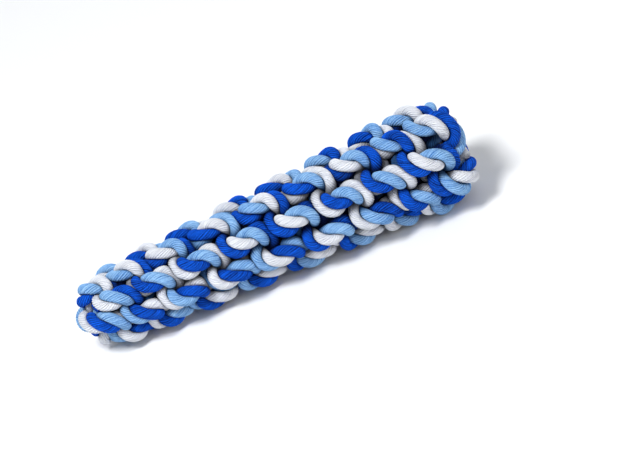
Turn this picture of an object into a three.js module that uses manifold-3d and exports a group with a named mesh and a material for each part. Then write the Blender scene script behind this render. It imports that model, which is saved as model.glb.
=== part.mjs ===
// A rope dog toy: a round crown sinnet, knotted from two cotton ropes of three coloured yarns each.
// The ropes cross at the start and fold into four strands. The strands are crowned layer on layer
// along +X: each comes up from inside, lies over the toy as a stitch and dives under the next stitch.
// Past the last crown the tails are pulled through and cut off.
// Millimetres, +Z up. The toy lies on its side on the plane Z = 0, with its middle over the origin.
import * as THREE from "three";
import { mergeVertices } from "three/addons/utils/BufferGeometryUtils.js";
import Module from "manifold-3d";

const { degToRad, lerp, clamp } = THREE.MathUtils;

// Sizes of the yarn and of the knot
const YARN_DIAMETER = 6;
const YARN_CLEARANCE = 0.42;
const LAY_LENGTH = 24;
const LAYER_PITCH = 13.1;
const START_DIAMETER = 38;
const FINISH_DIAMETER = 55;
const CORE_RADIUS = 5.1;
const STITCH_REACH = 6.96;
const STITCH_HOOK = 0.64;
const START_DRAWN_IN = 42;
const FINISH_DRAWN_IN = 40;
const CROSSING_OFFSET = 5;

// Counts and angles of the knot
const LAYERS = 17;
const STRANDS = 4;
const LAYER_TURN = degToRad(136.2);
const FIRST_STITCH_ANGLE = degToRad(92);

// How high a strand lies through one layer, as cosine terms: 0 at its deepest, 1 on top of its stitch
const HEIGHT_TERMS = [0.546, 0.516, 0.059, -0.121];

// How much it turns more slowly on top of its stitch than inside, as sine terms in radians
const DWELL_TERMS = [0.288, 0.126];

// The ends: where the ropes cross and how soon they spread from there, in layers, how much of a length
// is drawn in there, and where each strand's tail is cut past its last stitch, in layers
const CROSSING_AT = -0.42;
const CROSSING_SPREAD = 0.25;
const DRAWN_SHARE = 0.33;
const TAILS = [0.5, 0.5, 0.6, 0.5];

// Which yarn lies on top of a stitch, as [layer, yarn], in thirds of a turn, read along each strand
const TOP_YARNS = [
  [[3, 1.8], [6, 0.95], [8, 2.5], [11, 1.6], [14, 1.75], [16, 0]],
  [[5, 1.4], [8, 0.55], [10, 1.85], [13, 2.1], [16, 1.9]],
  [[2, 1.95], [4, 0.5], [7, 0.5], [10, 0.15], [12, 0.9], [15, 0.25]],
  [[4, 1.45], [6, 2.95], [9, 0.5], [12, 1.15], [14, 1.75]],
];

// The yarns of a rope, in their order round it
const YARNS = [
  { name: "white", color: 0xe9e7ea, roughness: 0.95 },
  { name: "royal", color: 0x1f47ad, roughness: 0.95 },
  { name: "sky", color: 0x86b6e2, roughness: 0.95 },
];

// How the yarns settle against each other
const YARN_OFFSET = 0.54 * YARN_DIAMETER;
const START_DISTANCE = 0.66 * YARN_DIAMETER;
const FINISH_DISTANCE = 0.9 * YARN_DIAMETER;
const ROPE_HALF_WIDTH = YARN_OFFSET + YARN_DIAMETER / 2;
const SWELL = 0.25 * YARN_DIAMETER;
const FLAT_DEPTH = ROPE_HALF_WIDTH / 5;
const SETTLE_ROUNDS = 160;
const PUSH_SHARE = 0.6;
const STIFFNESS = 0.35;
const POINT_SPACING = 0.35 * YARN_DIAMETER;
const SMALL_STEP = 0.002;
const NEAR_ALONG = 8;
const NEAR_ACROSS = 1.5 * YARN_DIAMETER;
const RAMP_EASE = YARN_DIAMETER;

// The facets of a yarn: its sides, and the longest step and the largest bend between two rings
const SIDES = 4;
const CORNER_RADIUS = 0.6 * YARN_DIAMETER;
const LONGEST_STEP = 2.9 * YARN_DIAMETER;
const LARGEST_BEND = degToRad(72);
const INSIDE_SHARE = 0.6;
const FACET_ROUNDS = 40;
const GAP_TOLERANCE = 0.02;
const FACET_SHRINK = 0.94;
const EDGE_SHARES = [0, 0.25, 0.5, 0.75];
const NEAR_START = 0.7;
const NEAR_END = 0.2;
const TILT_ROUNDS = 3;

const wasm = await Module();
wasm.setup();

const LAST_LAYER = LAYERS - 1;
const FULL_TURN = 2 * Math.PI;
const wrap = (angle) => angle - FULL_TURN * Math.round(angle / FULL_TURN);

// A smooth ramp: 0 before its start and the distance past it after
const ramp = (distance) => RAMP_EASE * Math.log1p(Math.exp(distance / RAMP_EASE));

// Where a place lies along the toy once both ends are drawn together
function drawnIn(x) {
  const start = ramp(START_DRAWN_IN - x);
  const finish = ramp(x - LAYER_PITCH * LAST_LAYER + FINISH_DRAWN_IN);
  return x + DRAWN_SHARE * (start - finish);
}

// The radius over the stitches at a layer
function outerRadius(t) {
  return lerp(START_DIAMETER, FINISH_DIAMETER, clamp(t / LAST_LAYER, 0, 1)) / 2;
}

function strandAngle(strand, t) {
  const dwell = DWELL_TERMS.reduce((sum, term, n) => sum + term * Math.sin((n + 1) * FULL_TURN * t), 0);
  return FIRST_STITCH_ANGLE + LAYER_TURN * t - dwell + (FULL_TURN * strand) / STRANDS;
}

// A point of a strand's centre line, where t counts layers and a whole t is the middle of a stitch
function strandPoint(strand, t) {
  const wave = FULL_TURN * t;
  const height = HEIGHT_TERMS.reduce((sum, term, n) => sum + term * Math.cos(n * wave), 0);
  const opening = Math.sin((Math.PI / 2) * clamp((t - CROSSING_AT) / CROSSING_SPREAD, 0, 1));
  const radius = opening * lerp(CORE_RADIUS, outerRadius(t) - ROPE_HALF_WIDTH - SWELL, height);
  const hooked = STITCH_REACH * Math.sin(wave) + STITCH_HOOK * Math.sin(2 * wave);
  const side = strand % 2 === 0 ? 1 : -1;
  const angle = strandAngle(strand, t);
  return new THREE.Vector3(
    drawnIn(LAYER_PITCH * t + hooked) + side * CROSSING_OFFSET * (1 - opening),
    radius * Math.cos(angle),
    radius * Math.sin(angle),
  );
}

// Frames that follow a line of points without turning about it
function framesAlong(points, firstNormal) {
  let normal = firstNormal.clone();
  return points.map((point, i) => {
    const before = points[Math.max(i - 1, 0)];
    const after = points[Math.min(i + 1, points.length - 1)];
    const tangent = after.clone().sub(before).normalize();
    normal = normal.clone().addScaledVector(tangent, -normal.dot(tangent)).normalize();
    return { tangent, normal, side: tangent.clone().cross(normal) };
  });
}

// The places of a strand, in layers, that are an even distance apart along it
function evenSteps(strand) {
  const end = LAST_LAYER + TAILS[strand];
  const places = [];
  let before = strandPoint(strand, CROSSING_AT);
  let travelled = POINT_SPACING;
  for (let t = CROSSING_AT; t < end; t += SMALL_STEP) {
    const point = strandPoint(strand, t);
    travelled += point.distanceTo(before);
    before = point;
    if (travelled < POINT_SPACING) continue;
    places.push(t);
    travelled -= POINT_SPACING;
  }
  return places;
}

// One strand: its points from the crossing to its tail, its frames, its lay at each point in a steady
// twist, and the change to that lay which puts the right yarn on top of each stitch that is listed
function makeStrand(strand) {
  const layers = evenSteps(strand);
  const points = layers.map((t) => strandPoint(strand, t));
  const frames = framesAlong(points, new THREE.Vector3(-1, 0, 0));
  const lay = points.map((_, i) => (FULL_TURN * POINT_SPACING * i) / LAY_LENGTH);
  let change = 0;
  const changes = TOP_YARNS[strand].map(([layer, yarn]) => {
    const i = layers.findIndex((t) => t >= layer);
    const angle = strandAngle(strand, layer);
    const out = new THREE.Vector3(0, Math.cos(angle), Math.sin(angle));
    const outTurn = Math.atan2(out.dot(frames[i].side), out.dot(frames[i].normal));
    change += wrap(outTurn + (FULL_TURN * yarn) / YARNS.length - lay[i] - change);
    return [layer, change];
  });
  return { layers, points, frames, lay, changes };
}

// A value between listed ones, and level past the last of them
function between(list, t) {
  const next = list.findIndex(([layer]) => layer > t);
  if (next < 0) return list[list.length - 1][1];
  const [t0, value0] = list[next - 1];
  const [t1, value1] = list[next];
  return lerp(value0, value1, (t - t0) / (t1 - t0));
}

// The line of one yarn along a strand
function yarnAlong(strand, yarnIndex) {
  return strand.points.map((point, i) => {
    const { normal, side } = strand.frames[i];
    const turn = strand.lay[i] + between(strand.changes, strand.layers[i]);
    const angle = turn - (FULL_TURN * yarnIndex) / YARNS.length;
    return point
      .clone()
      .addScaledVector(normal, YARN_OFFSET * Math.cos(angle))
      .addScaledVector(side, YARN_OFFSET * Math.sin(angle));
  });
}

// The three yarns of one rope, each a line from tail to tail through the crossing at the start.
// Seen along the second strand the rope runs the other way, so its yarns come in the other order.
function ropeYarns(first, second) {
  const difference = wrap(first.changes[0][1] + second.changes[0][1]);
  const atCrossing = first.changes[0][1] - difference / 2;
  first.changes.unshift([CROSSING_AT, atCrossing]);
  const secondTurns = Math.round((second.changes[0][1] + atCrossing) / FULL_TURN);
  second.changes.unshift([CROSSING_AT, FULL_TURN * secondTurns - atCrossing]);
  return YARNS.map((_, index) => {
    const there = yarnAlong(first, index).slice(1).reverse();
    return there.concat(yarnAlong(second, -index));
  });
}

// How far apart the middles of two touching yarns settle: the knot is pulled tighter at its start
function settledDistance(x) {
  return lerp(START_DISTANCE, FINISH_DISTANCE, clamp(x / (LAYER_PITCH * LAST_LAYER), 0, 1));
}

// Moves points of different turns apart until they are the settled distance from each other
function pushApart(lines) {
  const entries = lines.flatMap((line, owner) => line.map((point, index) => ({ point, owner, index })));
  entries.sort((a, b) => a.point.x - b.point.x);
  for (const entry of entries) {
    entry.push = new THREE.Vector3();
    entry.touches = 0;
  }
  const apart = new THREE.Vector3();
  entries.forEach((a, i) => {
    const settled = settledDistance(a.point.x);
    for (let j = i + 1; j < entries.length; j++) {
      const b = entries[j];
      if (b.point.x - a.point.x >= settled) break;
      if (a.owner === b.owner && Math.abs(a.index - b.index) <= NEAR_ALONG) continue;
      apart.copy(b.point).sub(a.point);
      const distance = apart.length();
      if (distance >= settled) continue;
      apart.setLength((settled - distance) / 2);
      a.push.sub(apart);
      b.push.add(apart);
      a.touches += 1;
      b.touches += 1;
    }
  });
  for (const { point, push, touches } of entries) {
    point.addScaledVector(push, PUSH_SHARE / Math.max(touches, 1));
  }
}

// Evens out the bends of a line without drawing it shorter
function straighten(line) {
  const sags = line.map((point, i) => {
    if (i === 0 || i === line.length - 1) return new THREE.Vector3();
    return line[i - 1].clone().add(line[i + 1]).multiplyScalar(0.5).sub(point);
  });
  for (let i = 1; i < line.length - 1; i++) {
    const bend = sags[i].clone().addScaledVector(sags[i - 1], -0.5).addScaledVector(sags[i + 1], -0.5);
    line[i].addScaledVector(bend, STIFFNESS);
  }
}

// The points of a line that get a ring: closer where it bends, and further apart inside the knot
function ringStations(line, frames) {
  const stations = [0];
  let travelled = 0;
  for (let i = 1; i < line.length; i++) {
    const bend = frames[i].tangent.angleTo(frames[i - 1].tangent);
    const inside = Math.hypot(line[i].y, line[i].z) < CORE_RADIUS + ROPE_HALF_WIDTH;
    const share = inside ? INSIDE_SHARE : 1;
    travelled += share * (line[i].distanceTo(line[i - 1]) / LONGEST_STEP + bend / LARGEST_BEND);
    if (travelled >= 1 && i < line.length - 1) {
      stations.push(i);
      travelled -= 1;
    }
  }
  stations.push(line.length - 1);
  return stations;
}

// The points of other turns of yarn near a stretch of one yarn
function othersNear(lines, owner, from, to) {
  const line = lines[owner];
  const middle = line[Math.round((from + to) / 2)];
  const reach = middle.distanceTo(line[from]) + NEAR_ACROSS;
  return lines.flatMap((other, otherOwner) =>
    other.filter((point, index) => {
      if (Math.abs(point.x - middle.x) > reach || point.distanceTo(middle) > reach) return false;
      return otherOwner !== owner || index < from - NEAR_ALONG || index > to + NEAR_ALONG;
    }),
  );
}

const leastDistance = (place, points) =>
  points.reduce((least, point) => Math.min(least, place.distanceTo(point)), Infinity);

// Rings at the stations of one yarn, round where it is free and pressed flat where it meets another:
// a corner is drawn in until the edges from it are nearer to their own yarn than to any other by the
// clearance. The gaps are what each span between two rings keeps in the end.
function shapeRings(lines, owner, frames, stations) {
  const line = lines[owner];
  const directions = stations.map((station) =>
    Array.from({ length: SIDES }, (_, side) => {
      const angle = (FULL_TURN * side) / SIDES;
      const direction = frames[station].normal.clone().multiplyScalar(Math.cos(angle));
      return direction.addScaledVector(frames[station].side, Math.sin(angle));
    }),
  );
  const spans = stations.slice(1).map((to, ring) => ({
    own: line.slice(Math.max(stations[ring] - 2, 0), to + 3),
    others: othersNear(lines, owner, stations[ring], to),
    gap: Infinity,
  }));
  const radii = stations.map(() => new Array(SIDES).fill(CORNER_RADIUS));
  const corner = (ring, side) =>
    line[stations[ring]].clone().addScaledVector(directions[ring][side % SIDES], radii[ring][side % SIDES]);
  for (let round = 0; round < FACET_ROUNDS; round++) {
    const drawn = radii.map(() => new Set());
    spans.forEach((span, ring) => {
      span.gap = Infinity;
      for (let side = 0; side < SIDES; side++) {
        for (const across of [0, 1]) {
          const from = corner(ring, side);
          const to = corner(ring + 1, side + across);
          for (const share of EDGE_SHARES) {
            const place = from.clone().lerp(to, share);
            const gap = leastDistance(place, span.others) - leastDistance(place, span.own);
            span.gap = Math.min(span.gap, gap);
            if (gap >= YARN_CLEARANCE) continue;
            if (share < NEAR_START) drawn[ring].add(side);
            if (share > NEAR_END) drawn[ring + 1].add((side + across) % SIDES);
          }
        }
      }
    });
    drawn.forEach((sides, ring) => {
      for (const side of sides) radii[ring][side] *= FACET_SHRINK;
    });
  }
  const rings = radii.map((ring, index) => ring.map((_, side) => corner(index, side)));
  return { rings, gaps: spans.map((span) => span.gap) };
}

// One yarn's rings, with one more wherever a span between two of them still comes too near another turn
function makeRings(lines, owner) {
  const frames = framesAlong(lines[owner], new THREE.Vector3(0, 0, 1));
  let stations = ringStations(lines[owner], frames);
  let shaped = shapeRings(lines, owner, frames, stations);
  while (Math.min(...shaped.gaps) < YARN_CLEARANCE - GAP_TOLERANCE) {
    const added = shaped.gaps.flatMap((gap, ring) =>
      gap < YARN_CLEARANCE - GAP_TOLERANCE ? [Math.round((stations[ring] + stations[ring + 1]) / 2)] : [],
    );
    const more = [...new Set([...stations, ...added])].sort((a, b) => a - b);
    if (more.length === stations.length) break;
    stations = more;
    shaped = shapeRings(lines, owner, frames, stations);
  }
  return shaped;
}

// A closed tube through rings, with flat cut ends
function tubeGeometry(rings) {
  const middles = [rings[0], rings[rings.length - 1]].map((ring) =>
    ring.reduce((sum, point) => sum.add(point), new THREE.Vector3()).divideScalar(SIDES),
  );
  const positions = [...rings.flat(), ...middles].flatMap((point) => point.toArray());
  const last = (rings.length - 1) * SIDES;
  const startMiddle = rings.length * SIDES;
  const triangles = [];
  for (let side = 0; side < SIDES; side++) {
    const next = (side + 1) % SIDES;
    triangles.push(startMiddle, next, side, startMiddle + 1, last + side, last + next);
    for (let at = 0; at < last; at += SIDES) {
      triangles.push(at + side, at + next, at + SIDES + next);
      triangles.push(at + side, at + SIDES + next, at + SIDES + side);
    }
  }
  const geometry = new THREE.BufferGeometry();
  geometry.setAttribute("position", new THREE.Float32BufferAttribute(positions, 3));
  geometry.setIndex(triangles);
  return geometry;
}

function toSolid(geometry) {
  const bare = geometry.clone();
  bare.deleteAttribute("normal");
  bare.deleteAttribute("uv");
  const merged = mergeVertices(bare);
  const vertProperties = new Float32Array(merged.attributes.position.array);
  const triVerts = new Uint32Array(merged.index.array);
  return new wasm.Manifold(new wasm.Mesh({ numProp: 3, vertProperties, triVerts }));
}

function toGeometry(solid) {
  const { vertProperties, triVerts } = solid.getMesh();
  const geometry = new THREE.BufferGeometry();
  geometry.setAttribute("position", new THREE.BufferAttribute(vertProperties, 3));
  geometry.setIndex(new THREE.BufferAttribute(triVerts, 1));
  geometry.computeVertexNormals();
  return geometry;
}

// The settled lines of all yarns, rope by rope
const strands = Array.from({ length: STRANDS }, (_, strand) => makeStrand(strand));
const lines = [...ropeYarns(strands[0], strands[2]), ...ropeYarns(strands[1], strands[3])];
for (let round = 0; round < SETTLE_ROUNDS; round++) {
  pushApart(lines);
  lines.forEach(straighten);
}

const made = lines.map((_, owner) => makeRings(lines, owner));
const leastGap = Math.min(...made.flatMap((yarn) => yarn.gaps));
console.log(`least gap between turns of yarn: ${leastGap.toFixed(2)} mm`);

// The toy tapers, so it is tilted until it rests on both its ends. Its underside is pressed flat where
// it lies, and its box is centred over the origin.
const corners = made.flatMap((yarn) => yarn.rings.flat());
const lowestOf = (points) => points.reduce((low, point) => (point.z < low.z ? point : low));
for (let round = 0; round < TILT_ROUNDS; round++) {
  const middleX = new THREE.Box3().setFromPoints(corners).getCenter(new THREE.Vector3()).x;
  const startLow = lowestOf(corners.filter((point) => point.x < middleX - LAYER_PITCH));
  const finishLow = lowestOf(corners.filter((point) => point.x > middleX + LAYER_PITCH));
  const tilt = Math.atan2(finishLow.z - startLow.z, finishLow.x - startLow.x);
  corners.forEach((point) => point.applyAxisAngle(new THREE.Vector3(0, 1, 0), tilt));
}
const box = new THREE.Box3().setFromPoints(corners);
const middle = box.getCenter(new THREE.Vector3());
const size = box.getSize(new THREE.Vector3());
const floor = new THREE.BoxGeometry(2 * size.x, 2 * size.y, size.z);
floor.translate(middle.x, middle.y, box.min.z + FLAT_DEPTH - size.z / 2);
const floorSolid = toSolid(floor);

const toy = new THREE.Group();
toy.name = "rope_dog_toy";
made.forEach((yarn, index) => {
  const { name, color, roughness } = YARNS[index % YARNS.length];
  const solid = toSolid(tubeGeometry(yarn.rings)).subtract(floorSolid);
  const geometry = toGeometry(solid.translate([-middle.x, -middle.y, -box.min.z - FLAT_DEPTH]));
  const mesh = new THREE.Mesh(geometry, new THREE.MeshStandardMaterial({ color, roughness, metalness: 0 }));
  mesh.name = `rope_${Math.floor(index / YARNS.length) + 1}_${name}_yarn`;
  toy.add(mesh);
});

export default toy;
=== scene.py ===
"""The looks of a rope dog toy: a round crown sinnet of two cotton ropes, white, royal blue and sky blue.

Each yarn is one piece. It follows the same line as its solid in the frame, and is pressed out of round
where it meets the turns beside it. Lengths are in metres.
"""
import math

import bpy
import numpy as np
from mathutils import Matrix, Vector


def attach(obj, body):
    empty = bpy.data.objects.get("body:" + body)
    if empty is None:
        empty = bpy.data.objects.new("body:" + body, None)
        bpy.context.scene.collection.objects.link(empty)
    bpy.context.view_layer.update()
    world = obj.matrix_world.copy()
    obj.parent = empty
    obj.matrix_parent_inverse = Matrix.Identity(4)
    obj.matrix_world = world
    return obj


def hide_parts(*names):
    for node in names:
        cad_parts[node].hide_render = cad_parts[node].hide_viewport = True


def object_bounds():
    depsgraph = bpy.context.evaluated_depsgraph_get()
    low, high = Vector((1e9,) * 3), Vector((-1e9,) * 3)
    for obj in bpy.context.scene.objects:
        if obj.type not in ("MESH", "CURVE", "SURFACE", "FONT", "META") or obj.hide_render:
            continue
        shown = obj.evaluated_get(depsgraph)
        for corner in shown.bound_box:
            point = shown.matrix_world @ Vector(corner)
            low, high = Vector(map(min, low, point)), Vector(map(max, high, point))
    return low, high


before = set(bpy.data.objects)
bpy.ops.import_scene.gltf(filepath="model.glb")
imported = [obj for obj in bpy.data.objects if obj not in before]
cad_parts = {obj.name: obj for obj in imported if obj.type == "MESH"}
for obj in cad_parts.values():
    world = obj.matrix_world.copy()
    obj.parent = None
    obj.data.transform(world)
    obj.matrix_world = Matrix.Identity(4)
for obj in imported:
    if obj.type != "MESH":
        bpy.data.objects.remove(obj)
cad_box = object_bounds()

# The yarn and the knot, with the same values as in the frame
YARN_DIAMETER = 0.006
LAY_LENGTH = 0.024
LAYER_PITCH = 0.0131
START_DIAMETER = 0.038
FINISH_DIAMETER = 0.055
CORE_RADIUS = 0.0051
STITCH_REACH = 0.00696
STITCH_HOOK = 0.00064
START_DRAWN_IN = 0.042
FINISH_DRAWN_IN = 0.040
CROSSING_OFFSET = 0.005
LAYERS = 17
STRANDS = 4
LAYER_TURN = math.radians(136.2)
FIRST_STITCH_ANGLE = math.radians(92)
HEIGHT_TERMS = (0.546, 0.516, 0.059, -0.121)
DWELL_TERMS = (0.288, 0.126)
CROSSING_AT = -0.42
CROSSING_SPREAD = 0.25
DRAWN_SHARE = 0.33
TAILS = (0.5, 0.5, 0.6, 0.5)

# Which yarn lies on top of a stitch, as (layer, yarn), in thirds of a turn
TOP_YARNS = (
    ((3, 1.8), (6, 0.95), (8, 2.5), (11, 1.6), (14, 1.75), (16, 0)),
    ((5, 1.4), (8, 0.55), (10, 1.85), (13, 2.1), (16, 1.9)),
    ((2, 1.95), (4, 0.5), (7, 0.5), (10, 0.15), (12, 0.9), (15, 0.25)),
    ((4, 1.45), (6, 2.95), (9, 0.5), (12, 1.15), (14, 1.75)),
)

# How the yarns settle against each other, with the same values as in the frame
YARN_OFFSET = 0.54 * YARN_DIAMETER
START_DISTANCE = 0.66 * YARN_DIAMETER
FINISH_DISTANCE = 0.9 * YARN_DIAMETER
ROPE_HALF_WIDTH = YARN_OFFSET + YARN_DIAMETER / 2
SWELL = 0.25 * YARN_DIAMETER
SETTLE_ROUNDS = 160
PUSH_SHARE = 0.6
STIFFNESS = 0.35
POINT_SPACING = 0.35 * YARN_DIAMETER
SMALL_STEP = 0.002
NEAR_ALONG = 8
RAMP_EASE = YARN_DIAMETER

# How the toy lies in the frame: turned about the Y axis, then moved
LIE_TILT = -0.0382500
LIE_SHIFT = (-0.1051855, -0.0005025, 0.0199590)

# The threads of a yarn: how many go round it, how far they turn in one diameter of length, and how deep
# the grooves between them are as a share of the radius
THREADS = 12
THREAD_TWIST = 2.4
GROOVE_DEPTH = 0.07

# The surface of a yarn: a line of corners follows the top of each thread and each groove
SIDES = 2 * THREADS
RING_SPACING = 0.00068
FREE_RADIUS = 0.5 * YARN_DIAMETER
LEAST_RADIUS = 0.1 * YARN_DIAMETER
PRESSED_GAP = 0.02 * YARN_DIAMETER
SOFTNESS = 9
NEIGHBOURS = 48
FAR_AWAY = 1.0
LEAST_FACING = 1e-7
RINGS_AT_ONCE = 250

# The cut threads at a tail: circles of them as (share of the radius, count), and a stub's shape as (share of
# its length, share of its radius)
CUT_CIRCLES = ((0.42, 6), (0.8, 12))
CUT_PROFILE = ((-1.2, 1.0), (0.5, 1.0), (0.9, 0.85), (1.0, 0.4))
CUT_RADIUS = 0.1 * YARN_DIAMETER
CUT_LENGTH = 0.25 * YARN_DIAMETER
CUT_SIDES = 8
CUT_STAGGER = 0.5
CUT_ASIDE = 3
CUT_UV_STEP = 0.2
LEAN_RANGE = (0.1, 0.5)
LENGTH_RANGE = (0.6, 1.15)
SEED = 7

# Painted shade in the cotton's colour: it is darker between two depths below the toy's outside, whose end
# faces are taken to lie further in by the end cover, and where a turn of yarn presses on it
SHALLOW = 0.5 * YARN_DIAMETER
DEEP = 1.35 * YARN_DIAMETER
END_COVER = 1.5 * YARN_DIAMETER
DEEP_SHADE = 0.3
PRESSED_SHADE = 1.6

# Noise on the cotton, as scale across the yarn, scale along it and detail
FINE_FIBRES = (6.5, 1.3, 3.0)
GRAIN = (7.0, 13.0, 2.0)
BROAD_FIBRES = (2.6, 0.7, 2.0)
UNEVEN_TWIST = (1.2, 1.0, 1.0)
PATCHES = (0.35, 0.35, 2.0)

# How much threads, fine fibres, grain, broad fibres and patches count in the bump and in the shade, which is
# painted shade in the grooves between the threads and the cotton's own uneven tone from the rest
BUMP_WEIGHTS = (0.6, 0.6, 0.7, 0.3)
SHADE_WEIGHTS = (0.42, 1.1, 1.0, 1.3, 0.4)
SHADE_SHIFT = 1.55
BUMP_DISTANCE = 0.0009
ROUGHNESS_SPREAD = 0.16
SPECULAR_LEVEL = 0.1
SHEEN_WEIGHT = 0.12
SHEEN_ROUGHNESS = 0.5

# The cottons, as light colour, dark colour and roughness; the dark colour is partly the fibres' own darker
# tone and partly painted shade
COTTONS = {
    "white": ((0.95, 0.97, 1.0), (0.6, 0.63, 0.74), 0.92),
    "royal": ((0.005, 0.132, 0.90), (0.0005, 0.005, 0.06), 0.88),
    "sky": ((0.38, 0.66, 1.0), (0.05, 0.2, 0.58), 0.9),
}

# The picture, the camera's place and where the toy is in the picture
IMAGE_WIDTH, IMAGE_HEIGHT = 643, 456
TOY_LENGTH_PIXELS = 430
TOY_CENTRE_PIXELS = (270, 225)
CAMERA_ELEVATION = math.radians(30)
CAMERA_ROLL = math.radians(-23.5)
CAMERA_DISTANCE = 1.5
SENSOR_WIDTH = 36.0

# The floor, the light from all around, and the lamps as place, width, power and colour
FLOOR_HALF_WIDTH = 4
FLOOR_COLOUR = (0.9, 0.9, 0.9, 1)
FLOOR_ROUGHNESS = 0.9
SURROUND_COLOUR = (0.9, 0.95, 1, 1)
SURROUND_STRENGTH = 0.3
LAMPS = {
    "key": ((-0.45, -0.5, 1.2), 0.4, 18.5, (0.98, 0.99, 1.0)),
    "fill": ((0.7, -0.9, 0.45), 0.9, 4.5, (1.0, 0.95, 0.9)),
    "back": ((0.4, 1.1, 0.8), 0.9, 5, (0.97, 0.98, 1.0)),
}

# Values that follow from those above
YARNS = tuple(COTTONS)
LAST_LAYER = LAYERS - 1
FULL_TURN = 2 * math.pi


def unit(vectors):
    """Vectors along the last axis, brought to length one."""
    return vectors / np.linalg.norm(vectors, axis=-1, keepdims=True)


def wrap(angle):
    """An angle brought to within half a turn of zero."""
    return angle - FULL_TURN * round(angle / FULL_TURN)


def ramp(distance):
    """A smooth ramp: 0 before its start and the distance past it after."""
    return RAMP_EASE * np.log1p(np.exp(distance / RAMP_EASE))


def outer_radius(along):
    """The toy's radius at shares of its length, which grows evenly from the start to the finish."""
    return (START_DIAMETER + (FINISH_DIAMETER - START_DIAMETER) * np.clip(along, 0, 1)) / 2


def strand_angle(strand, t):
    """How far round the X axis a strand is at layers t: an even turn a layer less two sines, so that it turns
    slowly on top of a stitch and fast inside."""
    dwell = sum(term * np.sin((n + 1) * FULL_TURN * t) for n, term in enumerate(DWELL_TERMS))
    return FIRST_STITCH_ANGLE + LAYER_TURN * t - dwell + FULL_TURN * strand / STRANDS


def strand_points(strand, t):
    """The centre line of a strand at layers t: its height swings once a layer as a sum of cosines between
    the core and the outside, it turns about the X axis by one crown's angle a layer, and along X it moves
    by the layer pitch plus two sines that hook the stitch. A share of the length is drawn in at both ends."""
    wave = FULL_TURN * t
    height = sum(term * np.cos(n * wave) for n, term in enumerate(HEIGHT_TERMS))
    opening = np.sin(math.pi / 2 * np.clip((t - CROSSING_AT) / CROSSING_SPREAD, 0, 1))
    top = outer_radius(t / LAST_LAYER) - ROPE_HALF_WIDTH - SWELL
    radius = opening * (CORE_RADIUS + (top - CORE_RADIUS) * height)
    x = LAYER_PITCH * t + STITCH_REACH * np.sin(wave) + STITCH_HOOK * np.sin(2 * wave)
    x += DRAWN_SHARE * (ramp(START_DRAWN_IN - x) - ramp(x - LAYER_PITCH * LAST_LAYER + FINISH_DRAWN_IN))
    side = 1 if strand % 2 == 0 else -1
    x += side * CROSSING_OFFSET * (1 - opening)
    angle = strand_angle(strand, t)
    return np.stack([x, radius * np.cos(angle), radius * np.sin(angle)], axis=1)


def even_steps(strand):
    """The layers t of a strand that are an even distance apart along it."""
    t = np.arange(CROSSING_AT, LAST_LAYER + TAILS[strand], SMALL_STEP)
    steps = np.linalg.norm(np.diff(strand_points(strand, t), axis=0), axis=1)
    travelled = np.concatenate([[0.0], np.cumsum(steps)])
    count = int(travelled[-1] / POINT_SPACING) + 1
    return t[np.searchsorted(travelled, POINT_SPACING * np.arange(count))]


def frames_along(points, first_normal):
    """Normals and sides that follow a line of points without turning about it: each normal is the one before
    it, less its part along the line."""
    ends = np.concatenate([points[:1], points, points[-1:]])
    tangents = unit(ends[2:] - ends[:-2])
    normals = np.empty_like(tangents)
    normal = np.array(first_normal, float)
    for i, tangent in enumerate(tangents):
        normal = normal - tangent * (normal @ tangent)
        normal /= math.sqrt(normal @ normal)
        normals[i] = normal
    return normals, np.cross(tangents, normals)


def make_strand(strand):
    """One strand: its layers, points and frames, its lay in a steady twist, and the listed changes to that
    lay which put the right yarn on top."""
    layers = even_steps(strand)
    points = strand_points(strand, layers)
    normals, sides = frames_along(points, (-1, 0, 0))
    lay = FULL_TURN * POINT_SPACING * np.arange(len(points)) / LAY_LENGTH
    change = 0.0
    changes = []
    for layer, yarn in TOP_YARNS[strand]:
        i = int(np.searchsorted(layers, layer))
        angle = strand_angle(strand, layer)
        out = np.array([0.0, math.cos(angle), math.sin(angle)])
        out_turn = math.atan2(out @ sides[i], out @ normals[i])
        change += wrap(out_turn + FULL_TURN * yarn / len(YARNS) - lay[i] - change)
        changes.append((layer, change))
    return {"layers": layers, "points": points, "normals": normals, "sides": sides, "lay": lay,
            "changes": changes}


def yarn_along(strand, index):
    """The line of one yarn along a strand, at an even distance from the strand's own line."""
    listed, values = zip(*strand["changes"])
    turn = strand["lay"] + np.interp(strand["layers"], listed, values)
    angle = (turn - FULL_TURN * index / len(YARNS))[:, None]
    offset = np.cos(angle) * strand["normals"] + np.sin(angle) * strand["sides"]
    return strand["points"] + YARN_OFFSET * offset


def rope_yarns(first, second):
    """The three yarns of one rope, each a line from tail to tail through the crossing at the start. There the
    change to one strand's lay is minus the other's, apart from whole turns, so that the yarns meet."""
    first_change = first["changes"][0][1]
    second_change = second["changes"][0][1]
    at_crossing = first_change - wrap(first_change + second_change) / 2
    turns = round((second_change + at_crossing) / FULL_TURN)
    first["changes"].insert(0, (CROSSING_AT, at_crossing))
    second["changes"].insert(0, (CROSSING_AT, FULL_TURN * turns - at_crossing))
    return [
        np.concatenate([yarn_along(first, index)[:0:-1], yarn_along(second, -index)])
        for index in range(len(YARNS))
    ]


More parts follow.
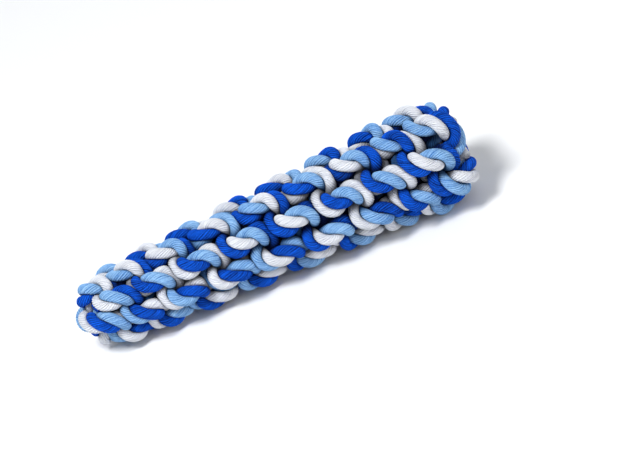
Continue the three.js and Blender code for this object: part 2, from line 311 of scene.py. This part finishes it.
def push_apart(points, owners, indices):
    """Moves points of different turns apart until the settled distance is between them. Points are sorted
    along X, and each is compared with the next one, the one after that and so on, all at once."""
    order = np.argsort(points[:, 0], kind="stable")
    x = points[order, 0]
    along = np.clip(x / (LAYER_PITCH * LAST_LAYER), 0, 1)
    settled = START_DISTANCE + (FINISH_DISTANCE - START_DISTANCE) * along
    widest = int((np.searchsorted(x, x + settled) - np.arange(len(x))).max())
    push = np.zeros_like(points)
    touches = np.zeros(len(points))
    for step in range(1, widest):
        lower, upper = order[:-step], order[step:]
        apart = points[upper] - points[lower]
        distance = np.linalg.norm(apart, axis=1)
        close = np.abs(indices[lower] - indices[upper]) <= NEAR_ALONG
        meets = (distance < settled[:-step]) & ~((owners[lower] == owners[upper]) & close)
        lower, upper = lower[meets], upper[meets]
        share = ((settled[:-step][meets] - distance[meets]) / 2 / distance[meets])[:, None]
        push[lower] -= apart[meets] * share
        push[upper] += apart[meets] * share
        touches[lower] += 1
        touches[upper] += 1
    return points + PUSH_SHARE * push / np.maximum(touches, 1)[:, None]


def straighten(line):
    """Evens out the bends of a line without drawing it shorter: a point's sag is how far the middle of the
    points beside it is off, and the point moves by a share of its sag less the mean of theirs."""
    sags = np.zeros_like(line)
    sags[1:-1] = (line[:-2] + line[2:]) / 2 - line[1:-1]
    bends = sags[1:-1] - (sags[:-2] + sags[2:]) / 2
    line = line.copy()
    line[1:-1] += STIFFNESS * bends
    return line


def settle(lines):
    """The lines after the yarns have pushed each other into place."""
    owners = np.concatenate([np.full(len(line), owner) for owner, line in enumerate(lines)])
    indices = np.concatenate([np.arange(len(line)) for line in lines])
    cuts = np.cumsum([len(line) for line in lines])[:-1]
    for _ in range(SETTLE_ROUNDS):
        pushed = push_apart(np.concatenate(lines), owners, indices)
        lines = [straighten(line) for line in np.split(pushed, cuts)]
    return lines


def lie_down(points):
    """Points of the knot about the X axis, turned about the Y axis and moved to where the toy lies."""
    c, s = math.cos(LIE_TILT), math.sin(LIE_TILT)
    x = c * points[:, 0] + s * points[:, 2]
    z = c * points[:, 2] - s * points[:, 0]
    return np.stack([x, points[:, 1], z], axis=1) + LIE_SHIFT


def finer(line, spacing):
    """A line through the same points with an even spacing, as Catmull-Rom pieces, and the length to each."""
    lengths = np.linalg.norm(np.diff(line, axis=0), axis=1)
    travelled = np.concatenate([[0.0], np.cumsum(lengths)])
    wanted = np.linspace(0, travelled[-1], int(travelled[-1] / spacing) + 1)
    piece = np.clip(np.searchsorted(travelled, wanted, side="right") - 1, 0, len(line) - 2)
    share = ((wanted - travelled[piece]) / lengths[piece])[:, None]
    padded = np.concatenate([2 * line[:1] - line[1:2], line, 2 * line[-1:] - line[-2:-1]])
    a, b, c, d = (padded[piece + k] for k in range(4))
    cubic = 3 * (b - c) + d - a
    square = 2 * a - 5 * b + 4 * c - d
    return b + share * ((c - a) + share * (square + share * cubic)) / 2, wanted


def depth_under(points):
    """How deep points of the lying toy are below its outside: 0 down to the shallow depth, 1 from the deep
    one on, and a smooth rise between. The outside is a cone about the toy's own axis, from the start's
    thickness to the finish's, and the two end faces, moved in by the end cover. The cotton's material paints
    shade into its colour by this depth."""
    c, s = math.cos(LIE_TILT), math.sin(LIE_TILT)
    x, y, z = np.moveaxis(points - LIE_SHIFT, -1, 0)
    outer = outer_radius((c * x - s * z) / (LAYER_PITCH * LAST_LAYER))
    from_end = np.minimum(points[..., 0] - cad_box[0].x, cad_box[1].x - points[..., 0])
    below = np.minimum(outer - np.hypot(y, c * z + s * x), from_end - END_COVER)
    share = np.clip((below - SHALLOW) / (DEEP - SHALLOW), 0, 1)
    return share * share * (3 - 2 * share)


def pressed_radii(points, directions, owner, lengths, others):
    """How far a yarn's surface is from its line in each direction, and the share by which it is pressed in:
    the free radius, or where nearer the plane halfway to the next turn of yarn, less half the gap, joined by
    a soft minimum."""
    other_points, other_owners, other_lengths = others
    radii = np.empty(directions.shape[:2])
    for low in range(0, len(points), RINGS_AT_ONCE):
        rows = slice(low, low + RINGS_AT_ONCE)
        offsets = other_points[None] - points[rows, None]
        squares = (offsets ** 2).sum(2)
        beside = np.abs(other_lengths[None] - lengths[rows, None]) <= NEAR_ALONG * POINT_SPACING
        squares[(other_owners == owner)[None] & beside] = FAR_AWAY
        picked = np.argpartition(squares, NEIGHBOURS, axis=1)[:, :NEIGHBOURS]
        near = np.take_along_axis(offsets, picked[..., None], axis=1)
        near_squares = np.take_along_axis(squares, picked, axis=1)
        facing = np.einsum("rsx,rkx->rsk", directions[rows], near)
        halfway = near_squares[:, None] / np.maximum(2 * facing, LEAST_FACING)
        limit = np.maximum(halfway.min(2) - PRESSED_GAP / 2, LEAST_RADIUS)
        radii[rows] = (FREE_RADIUS ** -SOFTNESS + limit ** -SOFTNESS) ** (-1 / SOFTNESS)
    return radii, 1 - radii / FREE_RADIUS


def tube_faces(rings, sides):
    """Quads between rings of corners, and the corners of each quad in rings along and sides round."""
    ring, side = np.meshgrid(np.arange(rings - 1), np.arange(sides), indexing="ij")
    along = np.stack([ring, ring, ring + 1, ring + 1], axis=-1).reshape(-1, 4)
    around = np.stack([side, side + 1, side + 1, side], axis=-1).reshape(-1, 4)
    return along * sides + around % sides, along.ravel(), around.ravel()


def tube_ends(rings, sides):
    """The two faces that close a tube, turned outwards."""
    around = np.arange(sides)
    return np.array([around[::-1], (rings - 1) * sides + around])


def cut_threads(point, outward, directions, radii, draws):
    """The cut threads at the end of a yarn, as rings of corners: one in the middle, and two circles of them
    at shares of the yarn's own radii. Each is a short round stub that leans out a little."""
    places = [(0.0, 0.0)]
    for share, count in CUT_CIRCLES:
        places += [(share, (i + CUT_STAGGER * share) / count) for i in range(count)]
    share, turn = np.array(places).T
    at = np.round(turn * SIDES).astype(int) % SIDES
    offset = directions[at] * (radii[at] * share)[:, None]
    lean = draws.uniform(*LEAN_RANGE, len(share)) * share
    axis = unit(outward + directions[at] * lean[:, None])
    normal = unit(np.cross(axis, directions[(at + CUT_ASIDE) % SIDES]))
    side = np.cross(axis, normal)
    length = CUT_LENGTH * draws.uniform(*LENGTH_RANGE, len(share))
    angle = FULL_TURN * np.arange(CUT_SIDES) / CUT_SIDES
    around = np.cos(angle)[:, None] * normal[:, None] + np.sin(angle)[:, None] * side[:, None]
    along, width = np.array(CUT_PROFILE).T
    middle = (point + offset)[:, None] + axis[:, None] * (length[:, None] * along)[..., None]
    return middle[:, :, None] + around[:, None] * (CUT_RADIUS * width)[:, None, None]


def keep_values(mesh, name, values):
    """Keeps a number for each corner of a mesh, under a name that its material reads."""
    mesh.attributes.new(name, "FLOAT", "POINT").data.foreach_set("value", values)


def make_yarn(name, points, lengths, directions, radii, pressed, material, draws):
    """A yarn's mesh: rings of corners at their radii about the line and the cut threads at both ends, pressed
    flat on the floor. Its UV map holds the length along the yarn in diameters and the share of a turn round
    it. Its depth is how far inside the knot each corner is, and pressed is how far the next turn of yarn
    pushes it in; the material paints shade into the colour by both."""
    body = points[:, None] + directions * radii[..., None]
    faces, along, around = tube_faces(len(points), SIDES)
    corners = [body.reshape(-1, 3)]
    polygons = [*faces.tolist(), *tube_ends(len(points), SIDES).tolist()]
    uv = [np.stack([lengths[along] / YARN_DIAMETER, around / SIDES], axis=1), np.zeros((2 * SIDES, 2))]

    first = cut_threads(points[0], unit(points[0] - points[1]), directions[0], radii[0], draws)
    last = cut_threads(points[-1], unit(points[-1] - points[-2]), directions[-1], radii[-1], draws)
    stub_faces, stub_along, stub_around = tube_faces(len(CUT_PROFILE), CUT_SIDES)
    stub_ends = tube_ends(len(CUT_PROFILE), CUT_SIDES)
    stub_uv = np.stack([stub_along * CUT_UV_STEP, stub_around / CUT_SIDES], axis=1)
    count = len(corners[0])
    for number, stub in enumerate([*first, *last]):
        corners.append(stub.reshape(-1, 3))
        polygons += [*(stub_faces + count).tolist(), *(stub_ends + count).tolist()]
        uv += [stub_uv + (number, 0), np.full((stub_ends.size, 2), float(number))]
        count += len(corners[-1])

    corners = np.concatenate(corners)
    corners[:, 2] = np.maximum(corners[:, 2], 0.0)
    mesh = bpy.data.meshes.new(name)
    mesh.from_pydata(corners, [], polygons)
    mesh.uv_layers.new(name="yarn").data.foreach_set("uv", np.concatenate(uv).astype(np.float32).ravel())
    keep_values(mesh, "depth", depth_under(corners))
    keep_values(mesh, "pressed", np.concatenate([pressed.ravel(), np.zeros(count - pressed.size)]))
    mesh.polygons.foreach_set("use_smooth", np.ones(len(mesh.polygons), bool))
    mesh.materials.append(material)
    mesh.update()
    piece = bpy.data.objects.new(name, mesh)
    bpy.context.collection.objects.link(piece)
    return piece


class Value:
    """A socket of a node tree that takes part in sums: each of + - * makes one Math node."""

    def __init__(self, tree, socket):
        self.tree = tree
        self.socket = socket

    @classmethod
    def node(cls, tree, kind, settings, inputs, output=0):
        """A node of any kind, and one of its outputs. Its settings are set first, and then each input gets
        its value or its link."""
        made = tree.nodes.new(kind)
        for name, setting in settings.items():
            setattr(made, name, setting)
        for name, value in inputs.items():
            if isinstance(value, cls):
                tree.links.new(value.socket, made.inputs[name])
            else:
                made.inputs[name].default_value = value
        return cls(tree, made.outputs[output])

    def math(self, operation, *inputs):
        """One Math node on these inputs."""
        return self.node(self.tree, "ShaderNodeMath", {"operation": operation}, dict(enumerate(inputs)))

    def cosine(self):
        return self.math("COSINE", self)

    def sine(self):
        return self.math("SINE", self)

    def __add__(self, other):
        return self.math("ADD", self, other)

    def __radd__(self, other):
        return self.math("ADD", other, self)

    def __sub__(self, other):
        return self.math("SUBTRACT", self, other)

    def __rsub__(self, other):
        return self.math("SUBTRACT", other, self)

    def __mul__(self, other):
        return self.math("MULTIPLY", self, other)

    def __rmul__(self, other):
        return self.math("MULTIPLY", other, self)


def weighted(weights, values):
    """The sum of values times their weights."""
    total, *rest = (weight * value for weight, value in zip(weights, values))
    for term in rest:
        total = total + term
    return total


def cotton(name, light, dark, roughness):
    """Matte cotton cord: shade is painted into the colour in the grooves between the threads, which are waves
    round the yarn that noise makes uneven. Fibres are finer noise drawn out along the threads, which give the
    cotton its own uneven tone, and both raise the surface. Shade is also painted into the colour deep in the
    knot and where a turn of yarn presses on it."""
    material = bpy.data.materials.new(name)
    material.use_nodes = True
    tree = material.node_tree
    shader = tree.nodes["Principled BSDF"]
    place = Value.node(tree, "ShaderNodeUVMap", {"uv_map": "yarn"}, {})
    along = Value.node(tree, "ShaderNodeSeparateXYZ", {}, {"Vector": place}, "X")
    turn = FULL_TURN * Value.node(tree, "ShaderNodeSeparateXYZ", {}, {"Vector": place}, "Y")

    def noise(across, lengthwise, detail):
        """Noise on the yarn's surface, with no seam: its scale across the yarn and along it."""
        spot = Value.node(tree, "ShaderNodeCombineXYZ", {}, {
            "X": across * turn.cosine(),
            "Y": across * turn.sine(),
            "Z": lengthwise * along,
        })
        return Value.node(tree, "ShaderNodeTexNoise", {}, {"Vector": spot, "Scale": 1.0, "Detail": detail})

    def attribute(wanted):
        """A number that the mesh holds at each corner."""
        return Value.node(tree, "ShaderNodeAttribute", {"attribute_name": wanted}, {}, "Fac")

    def mix(share, first, second):
        """A colour between two: a Mix node's sockets for colours are its seventh and eighth."""
        return Value.node(tree, "ShaderNodeMix", {"data_type": "RGBA"}, {0: share, 6: first, 7: second}, 2)

    fine = noise(*FINE_FIBRES)
    grain = noise(*GRAIN)
    broad = noise(*BROAD_FIBRES)
    patches = noise(*PATCHES)
    # The mix of the dark and light colours: the threads paint shade into the grooves between them, and the
    # noise is the cotton's own uneven tone
    threads = 0.5 + 0.5 * (THREADS * turn + 2.0 * noise(*UNEVEN_TWIST) - 1.0).cosine()
    height = weighted(BUMP_WEIGHTS, (threads, fine, grain, broad))
    shade = weighted(SHADE_WEIGHTS, (threads, fine, grain, broad, patches)) - SHADE_SHIFT
    # Painted shade: the colour goes towards a share of the dark colour deep in the knot and where a turn of
    # yarn presses on the cotton
    bare = 1 - attribute("depth")
    unshaded_share = bare * bare * (1 - PRESSED_SHADE * attribute("pressed"))
    painted_shade_colour = tuple(DEEP_SHADE * channel for channel in dark)
    colour = mix(unshaded_share, (*painted_shade_colour, 1), mix(shade, (*dark, 1), (*light, 1)))
    uneven_roughness = roughness - ROUGHNESS_SPREAD / 2 + ROUGHNESS_SPREAD * fine
    bump = Value.node(tree, "ShaderNodeBump", {}, {
        "Strength": 1.0,
        "Distance": BUMP_DISTANCE,
        "Height": height,
    })
    tree.links.new(colour.socket, shader.inputs["Base Color"])
    tree.links.new(uneven_roughness.socket, shader.inputs["Roughness"])
    tree.links.new(bump.socket, shader.inputs["Normal"])
    shader.inputs["Specular IOR Level"].default_value = SPECULAR_LEVEL
    shader.inputs["Sheen Weight"].default_value = SHEEN_WEIGHT
    shader.inputs["Sheen Roughness"].default_value = SHEEN_ROUGHNESS
    shader.inputs["Sheen Tint"].default_value = (*light, 1)
    return material


def make_floor():
    """A plain pale floor, one square at the height of zero."""
    mesh = bpy.data.meshes.new("floor")
    w = FLOOR_HALF_WIDTH
    mesh.from_pydata([(-w, -w, 0), (w, -w, 0), (w, w, 0), (-w, w, 0)], [], [(0, 1, 2, 3)])
    material = bpy.data.materials.new("floor")
    material.use_nodes = True
    shader = material.node_tree.nodes["Principled BSDF"]
    shader.inputs["Base Color"].default_value = FLOOR_COLOUR
    shader.inputs["Roughness"].default_value = FLOOR_ROUGHNESS
    mesh.materials.append(material)
    floor = bpy.data.objects.new("floor", mesh)
    bpy.context.collection.objects.link(floor)


def make_camera(target):
    """The camera: from the front and above, rolled so that the toy rises to the right as in the photo, with a
    lens that gives the toy its length in pixels."""
    back = Vector((0, -math.cos(CAMERA_ELEVATION), math.sin(CAMERA_ELEVATION)))
    view_width = (cad_box[1].x - cad_box[0].x) * IMAGE_WIDTH / TOY_LENGTH_PIXELS
    data = bpy.data.cameras.new("camera")
    data.sensor_width = SENSOR_WIDTH
    data.lens = SENSOR_WIDTH * CAMERA_DISTANCE / view_width
    data.shift_x = 0.5 - TOY_CENTRE_PIXELS[0] / IMAGE_WIDTH
    data.shift_y = (TOY_CENTRE_PIXELS[1] - IMAGE_HEIGHT / 2) / IMAGE_WIDTH
    camera = bpy.data.objects.new("camera", data)
    bpy.context.collection.objects.link(camera)
    moved = Matrix.Translation(target + back * CAMERA_DISTANCE)
    looking = (-back).to_track_quat("-Z", "Y").to_matrix().to_4x4()
    camera.matrix_world = moved @ looking @ Matrix.Rotation(CAMERA_ROLL, 4, "Z")
    bpy.context.scene.camera = camera


def make_lamp(name, target, place, width, power, colour):
    """A square lamp that looks at the toy."""
    data = bpy.data.lights.new(name, "AREA")
    data.energy = power
    data.color = colour
    data.size = width
    lamp = bpy.data.objects.new(name, data)
    lamp.location = place
    lamp.rotation_euler = (target - Vector(place)).to_track_quat("-Z", "Y").to_euler()
    bpy.context.collection.objects.link(lamp)


def make_surroundings():
    """Soft light from all around."""
    world = bpy.data.worlds.new("studio")
    world.use_nodes = True
    background = world.node_tree.nodes["Background"]
    background.inputs["Color"].default_value = SURROUND_COLOUR
    background.inputs["Strength"].default_value = SURROUND_STRENGTH
    bpy.context.scene.world = world


materials = {colour: cotton(f"{colour}_cotton", *looks) for colour, looks in COTTONS.items()}

strands = [make_strand(strand) for strand in range(STRANDS)]
lines = settle([*rope_yarns(strands[0], strands[2]), *rope_yarns(strands[1], strands[3])])
lines = [lie_down(line) for line in lines]

# Points of all yarns, with their owners and their lengths along them, that each surface is pressed against
spaced = [finer(line, POINT_SPACING / 2) for line in lines]
others = (
    np.concatenate([points for points, _ in spaced]),
    np.concatenate([np.full(len(points), owner) for owner, (points, _) in enumerate(spaced)]),
    np.concatenate([lengths for _, lengths in spaced]),
)

# The six yarns
angles = FULL_TURN * np.arange(SIDES) / SIDES
grooves = np.tile([1.0, 1.0 - GROOVE_DEPTH], THREADS)
draws = np.random.default_rng(SEED)
for owner, line in enumerate(lines):
    rope, colour = owner // len(YARNS) + 1, YARNS[owner % len(YARNS)]
    node = f"rope_{rope}_{colour}_yarn"
    points, lengths = finer(line, RING_SPACING)
    normals, sides = frames_along(points, (0, 0, 1))
    turned = (angles - THREAD_TWIST / YARN_DIAMETER * lengths[:, None])[..., None]
    directions = np.cos(turned) * normals[:, None] + np.sin(turned) * sides[:, None]
    radii, pressed = pressed_radii(points, directions, owner, lengths, others)
    piece = make_yarn(f"{colour}_yarn_{rope}", points, lengths, directions, grooves * radii, pressed,
                      materials[colour], draws)
    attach(piece, "root")
    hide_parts(node)

make_floor()
toy_middle = Vector((0, 0, (cad_box[0].z + cad_box[1].z) / 2))
make_camera(toy_middle)
make_surroundings()
for name, lamp in LAMPS.items():
    make_lamp(name, toy_middle, *lamp)

bpy.context.scene.view_settings.view_transform = "Standard"
